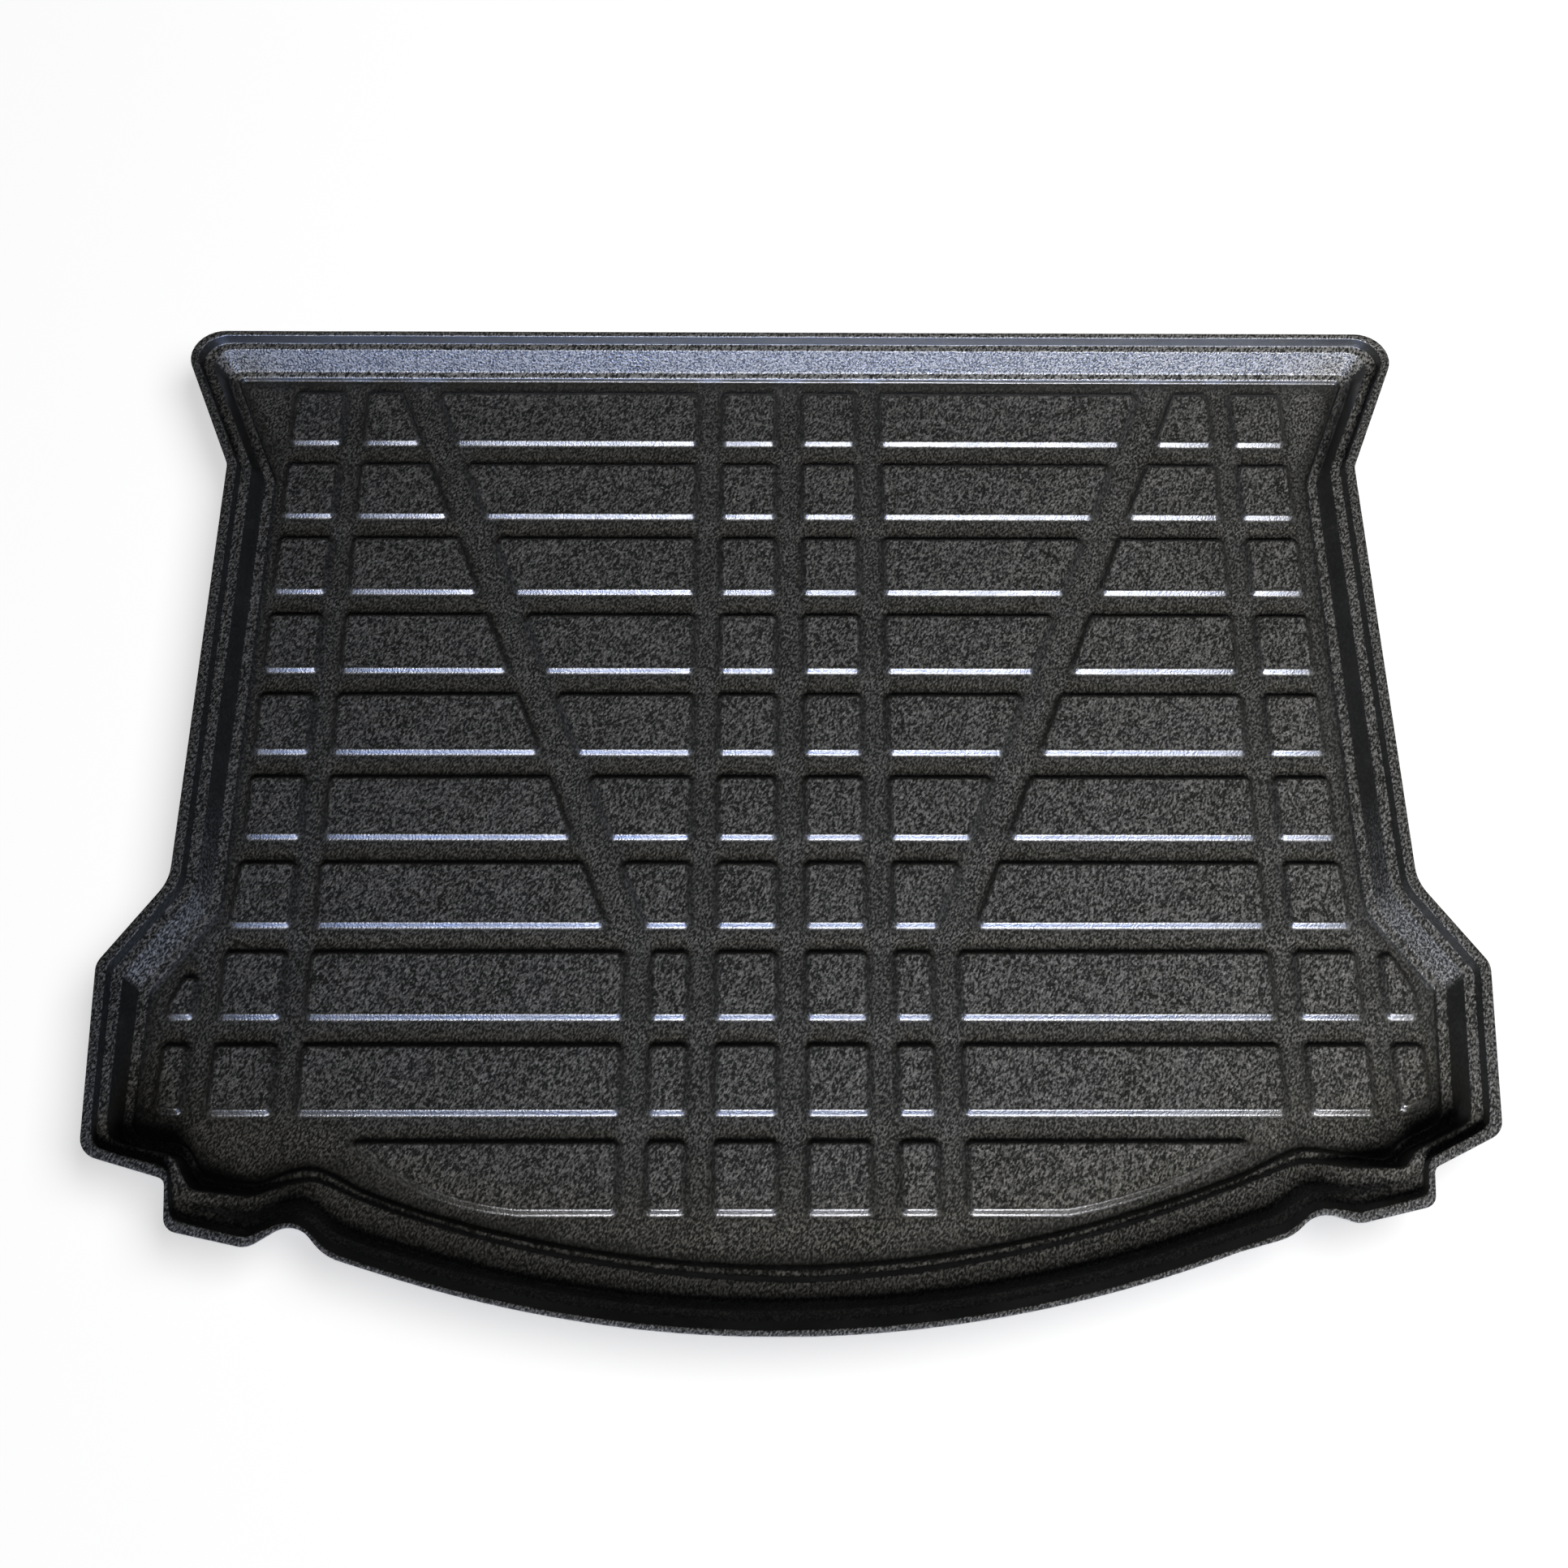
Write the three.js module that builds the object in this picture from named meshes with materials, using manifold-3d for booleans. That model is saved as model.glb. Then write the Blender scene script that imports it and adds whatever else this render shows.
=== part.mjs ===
// Car boot liner: one thermoformed plastic sheet, a shallow tray with a stepped wall and raised floor pads.
// Millimetres, +Z up, +X to the right and +Y towards the rear seats. The origin is under the tray's middle.
import * as THREE from 'three';
import { mergeVertices } from 'three/addons/utils/BufferGeometryUtils.js';
import Module from 'manifold-3d';

const wasm = await Module();
wasm.setup();

// Sheet and heights
const sheetThickness = 2.2;
const trayDepth = 40; // from the floor's top up to the rim's top
const lipDrop = 10; // from the flange down to the ledge below it
const footDrop = 5; // last small drop, down to the floor
const nearStepDrop = 20; // extra step of the wall at the tailgate
const heelStepDrop = 12; // the same step in the near corners, where it fades out
const toeStepDrop = 2;
const ledgeShare = 0.25; // how much of the step's drop the ledge before it takes, as a slope

// Rim outline, by its corners before they are rounded
const rimLength = 920;
const waistHalf = 502; // half the width behind the far corners
const farFlare = 60; // how far the far corners stand out past the waist
const farFlareLength = 148;
const sideFlare = 1.5;
const hipFlare = 49; // how far the hips stand out past the sides
const farCornerRadius = 29;
const waistRadius = 14;
const hipStartRadius = 40;
const hipRadius = 18;

// Radii of the same corners at the floor
const farFloorRadius = 5;
const waistFloorRadius = 14;
const hipStartFloorRadius = 40;
const hipFloorRadius = 8;

// The near edge is a bow, its deepest place a little to the left
const bowRadius = 940;
const bowMiddleX = -13;
const bowEndGap = 40; // from the bow's last station to the shoulder
const bowSteps = 5; // flats in each half of the bow

// Near corners, from the bow outwards, where the two sides of the tray differ. Each gives its rim
// corner, in from the hip and up from the bow's deepest place, and the way on to the floor's corner.
const nearCorners = {
  right: {
    shoulder: {
      in: 181.5, up: 74, floorOut: -19, floorUp: 63,
      radius: 45, floorRadius: 60, wall: 'shoulder',
    },
    dip: { in: 159.5, up: 94, floorOut: 0, floorUp: 64, radius: 25, floorRadius: 45, wall: 'dip' },
    heel: { in: 129.5, up: 84, floorOut: 1, floorUp: 68, radius: 18, floorRadius: 30, wall: 'heel' },
    toe: { in: 70.5, up: 98, floorOut: -23, floorUp: 49, radius: 10, floorRadius: 10, wall: 'toe' },
    notch: { in: 67.5, up: 127, floorOut: -17, floorUp: 32, radius: 8, floorRadius: 20, wall: 'side' },
    hipCorner: { in: 11.5, up: 155, floorOut: -35, floorUp: 22, radius: 16, floorRadius: 16, wall: 'side' },
  },
  left: {
    shoulder: {
      in: 200.5, up: 60, floorOut: -16, floorUp: 63,
      radius: 45, floorRadius: 60, wall: 'shoulder',
    },
    dip: { in: 176.5, up: 88, floorOut: 0, floorUp: 58, radius: 25, floorRadius: 45, wall: 'dip' },
    heel: { in: 142.5, up: 66, floorOut: 4, floorUp: 61, radius: 18, floorRadius: 30, wall: 'heel' },
    toe: { in: 79.5, up: 80, floorOut: -18, floorUp: 52, radius: 12, floorRadius: 10, wall: 'toe' },
    notch: { in: 75.5, up: 119, floorOut: -5, floorUp: 40, radius: 8, floorRadius: 20, wall: 'side' },
    hipCorner: { in: 8.5, up: 139, floorOut: -28, floorUp: 25, radius: 18, floorRadius: 14, wall: 'side' },
  },
};

// Wall sections, from the rim inwards: how far each band runs in, and how far the step drops
const wallSections = {
  far: { runs: [3.2, 1.2, 2.6, 0.8, 4.2, 8.1, 6, 1], stepDrop: 0 },
  side: { runs: [8.5, 2.2, 3.6, 1, 4, 7.2, 8, 1.5], stepDrop: 0 },
  toe: { runs: [8, 5, 8, 4, 9, 10, 4, 4], stepDrop: toeStepDrop },
  heel: { runs: [7.5, 8, 8, 10, 13, 8.5, 4, 4], stepDrop: heelStepDrop },
  dip: { runs: [4.5, 7.5, 8, 12.5, 15, 4, 7, 5], stepDrop: nearStepDrop },
  shoulder: { runs: [3.5, 9, 8, 9, 25, 4, 3, 4], stepDrop: nearStepDrop },
  near: { runs: [4.7, 9, 8.5, 10.4, 14.3, 6.2, 4.4, 5.1], stepDrop: nearStepDrop },
};

// Floor pads: rows run across the tray, and grooves cut them from front to back
const padHeight = 5;
const padSideRun = 3.4;
const padCornerRadius = 4.5;
const padMiddleX = -2.5; // the pads lie a little left of the tray's middle
const rowCount = 10;
const rowGap = 20;
const farPadGap = 13.5; // from the floor's edge to the first row
const nearPadGap = 38.8;
const centreGroove = 19;
const centrePadWidth = 54;
const sideGroove = 17.8;
const smallPadWidth = 34.3;
const straightGroove = 17.8;
const outerGroove = 15.8;
const outerPadWidth = 50.5;
const outerPadGap = 9; // from the outer pads to the floor's edge
const hipPadExtra = 3.5;
const tinyGroove = 15.6;

// Two small pads lie out in each hip. The wall cuts off the first, which slants from its
// shoulder to a narrow tip that stays clear of the row's far edge. The second rises at its near edge.
const tinyPads = {
  right: { gap: 10, shoulder: 24, tipGap: 0, tipWidth: 15, nearRise: 10 },
  left: { gap: 15.5, shoulder: 12, tipGap: 21.8, tipWidth: 14, nearRise: 3 },
};
const hipPastRow = 33; // the hip's corner, from the near edge of the first row of small pads
const hipStartPastRow = 25.2; // where the hip starts, from the near edge of the row before it

// The diagonal groove, by its middle line and its width square to that line
const diagonalIn = 72.6; // from the wide pads' outer edge, at the near edge of the first row
const diagonalEnd = 1; // from the wide pads' inner edge, at the near edge of its last row
const diagonalGroove = 25.4;
const diagonalRows = 7;

// The wide pads of the last row are cut off in a curve along the bow
const curvedPads = {
  right: { tipIn: 4, bulge: 8 },
  left: { tipIn: 0, bulge: 12.5 },
};
const curvedPadCut = 178.7; // how much of the pad's width the curve takes off
const curvedPadSteps = 5;

const cutMargin = 5; // how far the cutting shapes stand past what they cut
const smallestTangent = 0.4;

const floorZ = sheetThickness;
const rimZ = floorZ + trayDepth;
const farY = rimLength / 2;
const nearY = -rimLength / 2;
const sideHalf = waistHalf + sideFlare;
const hipHalf = sideHalf + hipFlare;

const lerp = (a, b, share) => a + (b - a) * share;
const unit = ([x, y]) => [x / Math.hypot(x, y), y / Math.hypot(x, y)];

// The wall's section as points: how far in from the rim, and how high
function sectionPoints({ runs, stepDrop }) {
  const wallDrop = trayDepth - lipDrop - footDrop - stepDrop;
  const ledgeDrop = stepDrop * ledgeShare;
  const drops = [0, lipDrop, ledgeDrop, stepDrop - ledgeDrop, 0, wallDrop, 0, footDrop];
  const points = [[0, rimZ]];
  runs.forEach((run, i) => {
    const [inwards, z] = points[i];
    points.push([inwards + run, z - drops[i]]);
  });
  return points;
}

// The same section one sheet lower, with its first point out past the rim
function undersidePoints(points) {
  const ways = points.slice(1).map((p, i) => unit([p[0] - points[i][0], p[1] - points[i][1]]));
  ways.unshift([1, 0]);
  ways.push([1, 0]);
  const under = points.map(([inwards, z], i) => {
    const [a, b] = [ways[i], ways[i + 1]];
    const reach = sheetThickness / (1 + a[0] * b[0] + a[1] * b[1]);
    return [inwards + (a[1] + b[1]) * reach, z - (a[0] + b[0]) * reach];
  });
  under[0][0] = -cutMargin;
  return under;
}

function blendSections(a, b, share) {
  return {
    runs: a.runs.map((run, i) => lerp(run, b.runs[i], share)),
    stepDrop: lerp(a.stepDrop, b.stepDrop, share),
  };
}

const runOf = (section) => section.runs.reduce((sum, run) => sum + run, 0);

// The rows of pads fill the floor between the far wall and the bow
const farFloorY = farY - runOf(wallSections.far);
const nearFloorY = nearY + runOf(wallSections.near);
const rowPitch = (farFloorY - farPadGap - nearFloorY - nearPadGap + rowGap) / rowCount;
const padLength = rowPitch - rowGap;
const rowNearY = (row) => farFloorY - farPadGap - padLength - row * rowPitch;

// Where two lines meet, each moved square to itself towards the tray's inside
function insetCorner(before, here, after, runBefore, runAfter) {
  const a = unit([here[0] - before[0], here[1] - before[1]]);
  const b = unit([after[0] - here[0], after[1] - here[1]]);
  const turn = a[0] * b[1] - a[1] * b[0];
  const along = (runAfter - runBefore * (a[0] * b[0] + a[1] * b[1])) / turn;
  return [-a[1] * runBefore - a[0] * along, a[0] * runBefore - a[1] * along];
}

// Stations along one half of the tray, from its near corner to its far corner
function halfStations(corners) {
  const stations = corners.map((corner) => ({
    rim: [hipHalf - corner.in, nearY + corner.up],
    toFloor: [corner.floorOut, corner.floorUp],
    radii: [corner.radius, corner.floorRadius],
    section: wallSections[corner.wall],
    steps: 3,
  }));
  const rims = [
    [hipHalf, rowNearY(diagonalRows) + hipPastRow],
    [sideHalf, rowNearY(diagonalRows - 1) + hipStartPastRow],
    [waistHalf, farY - farFlareLength],
    [waistHalf + farFlare, farY],
  ];
  const radii = [
    [hipRadius, hipFloorRadius],
    [hipStartRadius, hipStartFloorRadius],
    [waistRadius, waistFloorRadius],
    [farCornerRadius, farFloorRadius],
  ];
  const path = [stations[stations.length - 1].rim, ...rims, [0, farY]];
  const sideRun = runOf(wallSections.side);
  rims.forEach((rim, i) => {
    const last = i === rims.length - 1;
    const runAfter = last ? runOf(wallSections.far) : sideRun;
    stations.push({
      rim,
      toFloor: insetCorner(path[i], rim, path[i + 2], sideRun, runAfter),
      radii: radii[i],
      section: wallSections.side,
      sectionAfter: last ? wallSections.far : wallSections.side,
      steps: last ? 6 : 3,
    });
  });
  return stations;
}

const shoulderX = (side) => hipHalf - nearCorners[side].shoulder.in;

function bowStations() {
  const stations = [];
  const [left, right] = ['left', 'right'].map((side) => shoulderX(side) - bowEndGap);
  for (let i = -bowSteps; i <= bowSteps; i += 1) {
    const x = lerp(-left, right, (i / bowSteps + 1) / 2);
    const rim = [x, nearY + (x - bowMiddleX) ** 2 / (2 * bowRadius)];
    const section = blendSections(wallSections.near, wallSections.shoulder, Math.abs(i) / bowSteps);
    stations.push({ rim, toFloor: [0, runOf(section)], radii: [0, 0], section, steps: 0 });
  }
  return stations;
}

// A station on the other half: mirrored, and passed in the other direction
function mirrored(station) {
  return {
    ...station,
    rim: [-station.rim[0], station.rim[1]],
    toFloor: [-station.toFloor[0], station.toFloor[1]],
    section: station.sectionAfter ?? station.section,
    sectionAfter: station.section,
  };
}

const stations = [
  ...bowStations(),
  ...halfStations(Object.values(nearCorners.right)),
  ...halfStations(Object.values(nearCorners.left)).reverse().map(mirrored),
];

// A corner rounded to an arc, as its points in order. With no steps it stays one point.
function roundedCorner(before, here, after, radius, steps) {
  if (steps === 0) return [here];
  const back = [before[0] - here[0], before[1] - here[1]];
  const ahead = [after[0] - here[0], after[1] - here[1]];
  const [a, b] = [unit(back), unit(ahead)];
  const halfTurn = (Math.PI - Math.acos(Math.max(-1, Math.min(1, a[0] * b[0] + a[1] * b[1])))) / 2;
  const room = 0.48 * Math.min(Math.hypot(...back), Math.hypot(...ahead));
  const tangent = Math.min(room, Math.max(smallestTangent, radius * Math.tan(halfTurn)));
  const pull = Math.cos(halfTurn);
  const points = [];
  for (let i = 0; i <= steps; i += 1) {
    const t = i / steps;
    const weights = [(1 - t) ** 2, 2 * pull * t * (1 - t), t ** 2];
    const total = weights[0] + weights[1] + weights[2];
    points.push([
      here[0] + (weights[0] * a[0] + weights[2] * b[0]) * (tangent / total),
      here[1] + (weights[0] * a[1] + weights[2] * b[1]) * (tangent / total),
    ]);
  }
  return points;
}

// One ring round the tray: point number k of every station's section
function ring(k, pointsOf) {
  const corners = stations.map(({ rim, toFloor, radii, section, sectionAfter }) => {
    const [first, last] = [section, sectionAfter ?? section].map((s) => pointsOf(sectionPoints(s))[k]);
    const share = (first[0] + last[0]) / (runOf(section) + runOf(sectionAfter ?? section));
    const at = [rim[0] + toFloor[0] * share, rim[1] + toFloor[1] * share];
    return { at, radius: Math.max(0, lerp(radii[0], radii[1], share)), heights: [first[1], last[1]] };
  });
  const places = corners.map((corner) => corner.at);
  return corners.flatMap(({ at, radius, heights }, i) => {
    const before = places.at(i - 1);
    const after = places[(i + 1) % places.length];
    const points = roundedCorner(before, at, after, radius, stations[i].steps);
    const last = Math.max(1, points.length - 1);
    return points.map(([x, y], n) => [x, y, lerp(heights[0], heights[1], n / last)]);
  });
}

// A closed solid from rings of equal length, the first one lowest, with a flat cap at both ends
function loft(rings) {
  const count = rings[0].length;
  const positions = rings.flat(2);
  const index = [];
  for (let r = 0; r < rings.length - 1; r += 1) {
    for (let i = 0; i < count; i += 1) {
      const next = (i + 1) % count;
      const [a, b, c, d] = [r * count + i, r * count + next, (r + 1) * count + next, (r + 1) * count + i];
      index.push(a, b, c, a, c, d);
    }
  }
  const cap = (points, offset, flip) => {
    const flat = points.map(([x, y]) => new THREE.Vector2(x, y));
    THREE.ShapeUtils.triangulateShape(flat, []).forEach(([a, b, c]) => {
      index.push(offset + a, offset + (flip ? c : b), offset + (flip ? b : c));
    });
  };
  cap(rings[0], 0, true);
  cap(rings[rings.length - 1], (rings.length - 1) * count, false);
  return solid(positions, index);
}

function solid(positions, index) {
  const geometry = new THREE.BufferGeometry();
  geometry.setAttribute('position', new THREE.Float32BufferAttribute(positions, 3));
  geometry.setIndex(index);
  const merged = mergeVertices(geometry);
  const vertProperties = new Float32Array(merged.attributes.position.array);
  const triVerts = new Uint32Array(merged.index.array);
  return new wasm.Manifold(new wasm.Mesh({ numProp: 3, vertProperties, triVerts }));
}

// Everything under a surface of the tray, down past the sheet
function trayBody(pointsOf, bottomZ) {
  const rings = sectionPoints(wallSections.side).map((_, k) => ring(k, pointsOf));
  const base = rings[0].map(([x, y]) => [x, y, bottomZ]);
  return loft([base, ...rings]);
}

// A convex outline moved in (or out, where the distance is negative)
function inset(outline, distance) {
  return outline.map((here, i) => {
    const before = outline.at(i - 1);
    const after = outline[(i + 1) % outline.length];
    const a = unit([here[0] - before[0], here[1] - before[1]]);
    const b = unit([after[0] - here[0], after[1] - here[1]]);
    const reach = distance / (1 + a[0] * b[0] + a[1] * b[1]);
    return [here[0] - (a[1] + b[1]) * reach, here[1] + (a[0] + b[0]) * reach];
  });
}

// One raised pad with sloping sides, from an outline at the floor
function padBody(outline, footZ) {
  const slope = padSideRun / padHeight;
  const level = (height) => inset(outline, slope * height).map(([x, y]) => [x, y, footZ + height]);
  return loft([level(-sheetThickness / 2), level(padHeight)]);
}

// Pads and grooves across half the tray: the inner ones from the middle, the outer ones from the wall
const centrePad = [centreGroove / 2, centreGroove / 2 + centrePadWidth];
const smallPad = [centrePad[1] + sideGroove, centrePad[1] + sideGroove + smallPadWidth];
const wideInnerX = smallPad[1] + straightGroove;
const outerPadOuterX = waistHalf - runOf(wallSections.side) - outerPadGap;
const outerInnerX = outerPadOuterX - outerPadWidth;
const widePadOuterX = outerInnerX - outerGroove;
const hipPadOuterX = outerPadOuterX + hipPadExtra;
const tinyInnerX = hipPadOuterX + tinyGroove;

const diagonalStartX = widePadOuterX - diagonalIn;
const diagonalSlope = (diagonalStartX - wideInnerX - diagonalEnd) / ((diagonalRows - 1) * rowPitch);
const diagonalAt = (y) => diagonalStartX + diagonalSlope * (y - rowNearY(0));
const diagonalHalf = (diagonalGroove / 2) * Math.hypot(1, diagonalSlope);

// A pad with straight near and far edges, from its inner and outer x at each of them
function fourSided(near, far, nearInner, nearOuter, farInner = nearInner, farOuter = nearOuter) {
  return [[nearInner, near], [nearOuter, near], [farOuter, far], [farInner, far]];
}

// The wide pad of the last row: its outer end follows the bow up to a tip
function curvedPad(near, far, side) {
  const { tipIn, bulge } = curvedPads[side];
  const tipX = shoulderX(side) - tipIn;
  const flatX = widePadOuterX - curvedPadCut;
  const chord = unit([tipX - flatX, far - near]);
  const points = [[wideInnerX, near]];
  for (let i = 0; i <= curvedPadSteps; i += 1) {
    const t = i / curvedPadSteps;
    const out = bulge * 4 * t * (1 - t);
    points.push([lerp(flatX, tipX, t) + chord[1] * out, lerp(near, far, t) - chord[0] * out]);
  }
  points.push([wideInnerX, far]);
  return points;
}

// Corners of the pads in one row of one half of the tray
function rowPads(row, side) {
  const near = rowNearY(row);
  const far = near + padLength;
  const pads = [fourSided(near, far, ...centrePad)];
  if (row < diagonalRows) {
    const inner = [near, far].map((y) => diagonalAt(y) - diagonalHalf);
    const outer = [near, far].map((y) => diagonalAt(y) + diagonalHalf);
    const hip = row === diagonalRows - 1 ? hipPadOuterX : outerPadOuterX;
    pads.push(fourSided(near, far, smallPad[0], inner[0], smallPad[0], inner[1]));
    pads.push(fourSided(near, far, outer[0], widePadOuterX, outer[1], widePadOuterX));
    pads.push(fourSided(near, far, outerInnerX, hip, outerInnerX, outerPadOuterX));
  } else {
    pads.push(fourSided(near, far, ...smallPad));
    if (row === rowCount - 1) {
      pads.push(curvedPad(near, far, side));
    } else {
      pads.push(fourSided(near, far, wideInnerX, widePadOuterX));
      pads.push(fourSided(near, far, outerInnerX, hipPadOuterX));
      pads.push(tinyPad(near, row === diagonalRows, tinyPads[side]));
    }
  }
  return pads;
}

function tinyPad(near, pointed, { gap, shoulder, tipGap, tipWidth, nearRise }) {
  const outerX = hipHalf - runOf(wallSections.side) - gap;
  if (!pointed) {
    const far = near + padLength;
    return [[tinyInnerX, near], [outerX, near + nearRise], [outerX, far], [tinyInnerX, far]];
  }
  const tipY = near + padLength - tipGap;
  return [
    [tinyInnerX, near],
    [outerX, near],
    [outerX, near + shoulder],
    [tinyInnerX + tipWidth, tipY],
    [tinyInnerX, tipY],
  ];
}

function roundedOutline(corners, steps) {
  return corners.flatMap((here, i) => {
    const before = corners.at(i - 1);
    const after = corners[(i + 1) % corners.length];
    return roundedCorner(before, here, after, padCornerRadius, steps);
  });
}

function padOutlines() {
  const outlines = [];
  for (let row = 0; row < rowCount; row += 1) {
    rowPads(row, 'right').forEach((corners) => {
      outlines.push(roundedOutline(corners, 1).map(([x, y]) => [padMiddleX + x, y]));
    });
    rowPads(row, 'left').forEach((corners) => {
      outlines.push(roundedOutline(corners, 1).map(([x, y]) => [padMiddleX - x, y]).reverse());
    });
  }
  return outlines;
}

// The sheet is what lies between the tray's upper surface and the same surface one sheet lower
function bootLiner() {
  const outlines = padOutlines();
  const slopeAngle = Math.atan2(padHeight, padSideRun);
  const underInset = sheetThickness * Math.tan(slopeAngle / 2);
  let upper = trayBody((points) => points, -cutMargin);
  let lower = trayBody(undersidePoints, -2 * cutMargin);
  outlines.forEach((outline) => {
    upper = upper.add(padBody(outline, floorZ));
    lower = lower.add(padBody(inset(outline, underInset), 0));
  });
  return upper.subtract(lower);
}

function meshOf(body, name, material) {
  const { vertProperties, triVerts } = body.getMesh();
  const geometry = new THREE.BufferGeometry();
  geometry.setAttribute('position', new THREE.BufferAttribute(vertProperties, 3));
  geometry.setIndex(new THREE.BufferAttribute(triVerts, 1));
  geometry.computeVertexNormals();
  const mesh = new THREE.Mesh(geometry, material);
  mesh.name = name;
  return mesh;
}

const blackPlastic = new THREE.MeshStandardMaterial({ color: 0x1e1d1c, roughness: 0.55, metalness: 0 });

const liner = new THREE.Group();
liner.add(meshOf(bootLiner(), 'boot_liner', blackPlastic));

export default liner;
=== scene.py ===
import math

import bpy
from mathutils import Matrix, Vector, kdtree, noise
from mathutils.geometry import delaunay_2d_cdt


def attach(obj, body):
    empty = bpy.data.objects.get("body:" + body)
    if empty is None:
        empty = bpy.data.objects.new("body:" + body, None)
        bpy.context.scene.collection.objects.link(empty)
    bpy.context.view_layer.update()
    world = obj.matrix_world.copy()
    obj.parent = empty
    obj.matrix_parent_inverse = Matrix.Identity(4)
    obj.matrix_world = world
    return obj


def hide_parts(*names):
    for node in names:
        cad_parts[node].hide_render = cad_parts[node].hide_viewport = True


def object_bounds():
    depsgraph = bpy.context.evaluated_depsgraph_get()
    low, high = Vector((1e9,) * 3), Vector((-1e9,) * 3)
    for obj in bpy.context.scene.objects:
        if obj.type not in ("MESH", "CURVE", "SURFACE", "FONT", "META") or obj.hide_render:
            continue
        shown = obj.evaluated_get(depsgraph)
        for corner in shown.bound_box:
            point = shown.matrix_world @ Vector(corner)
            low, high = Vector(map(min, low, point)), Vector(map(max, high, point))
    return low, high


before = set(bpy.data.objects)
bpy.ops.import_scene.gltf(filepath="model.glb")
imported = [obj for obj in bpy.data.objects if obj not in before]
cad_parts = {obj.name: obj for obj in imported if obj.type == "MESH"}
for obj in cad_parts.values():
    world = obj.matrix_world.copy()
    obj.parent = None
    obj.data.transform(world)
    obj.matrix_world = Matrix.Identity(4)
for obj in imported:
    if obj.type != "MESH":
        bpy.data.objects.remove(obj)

cadBox = [list(corner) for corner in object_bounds()]

# Lengths are in millimetres until a mesh is made
mm = 0.001

# The thermoformed sheet, flange to floor
sheet = {
    "thickness": 2.2,
    "depth": 40,
    "lipDrop": 10,
    "footDrop": 5,
    "ledgeShare": 0.25,  # of the step's drop, taken by the slope of the ledge before it
    "rimLength": 920,
    "waistHalf": 502,
    "farFlare": 60,
    "farFlareLength": 148,
    "sideFlare": 1.5,
    "hipFlare": 49,
    "bowRadius": 940,
    "bowMiddleX": -13,
    "bowEndGap": 40,
    "bowSteps": 20,
    # rim and floor radii of the four outer corners, near to far
    "sideRadii": [(18, 8), (40, 40), (14, 14), (29, 5)],
    # edge radii of the near wall, and of the side and far walls: flange, lip, ledge, step,
    # shelf, wall, curb, foot
    "edgeRadii": [2, 6, 7, 7, 4, 4, 4, 2.4],
    "sideEdgeRadii": [1.2, 0.9, 1.5, 0.9, 1.5, 2.5, 2.5, 2],
    "sideFromY": (-330, -270),
    "edgeSegments": 4,
    "cornerSegments": 6,
    "farCornerSegments": 10,
    "columnSpacing": 14,
    "floorMargin": 0.5,
    "floorSpacing": 14,
    "floorRunOn": 8,  # how far a column's floor runs on, for the foot's rounding
    # the near corners' folds are eased nearer than this y, more and more over this length, and
    # farther out than this x
    "easedFromY": -270,
    "easedOver": 30,
    "easedOutsideX": 250,
    "easings": 3,
    "boxClearance": 0.02,
    "trimAngle": 60,
    "trimBevel": 0.5,
    "trimSegments": 2,
}

# Near corners from the bow out: in from the hip, up from the bow, way on to the floor, radii, wall
nearCorners = {
    "right": [
        (181.5, 74, -19, 63, 45, 60, "shoulder"),
        (159.5, 94, 0, 64, 25, 45, "dip"),
        (129.5, 84, 1, 68, 18, 30, "heel"),
        (70.5, 98, -23, 49, 10, 10, "toe"),
        (67.5, 127, -17, 32, 8, 20, "side"),
        (11.5, 155, -35, 22, 16, 16, "side"),
    ],
    "left": [
        (200.5, 60, -16, 63, 45, 60, "shoulder"),
        (176.5, 88, 0, 58, 25, 45, "dip"),
        (142.5, 66, 4, 61, 18, 30, "heel"),
        (79.5, 80, -18, 52, 12, 10, "toe"),
        (75.5, 119, -5, 40, 8, 20, "side"),
        (8.5, 139, -28, 25, 18, 14, "side"),
    ],
}

# Runs of the eight bands of the wall, rim inwards, and the drop of the step band
wallSections = {
    "far": ([3.2, 1.2, 2.6, 0.8, 4.2, 8.1, 6, 1], 0),
    "side": ([8.5, 2.2, 3.6, 1, 4, 7.2, 8, 1.5], 0),
    "toe": ([8, 5, 8, 4, 9, 10, 4, 4], 2),
    "heel": ([7.5, 8, 8, 10, 13, 8.5, 4, 4], 12),
    "dip": ([4.5, 7.5, 8, 12.5, 15, 4, 7, 5], 20),
    "shoulder": ([3.5, 9, 8, 9, 25, 4, 3, 4], 20),
    "near": ([4.7, 9, 8.5, 10.4, 14.3, 6.2, 4.4, 5.1], 20),
}

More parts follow.
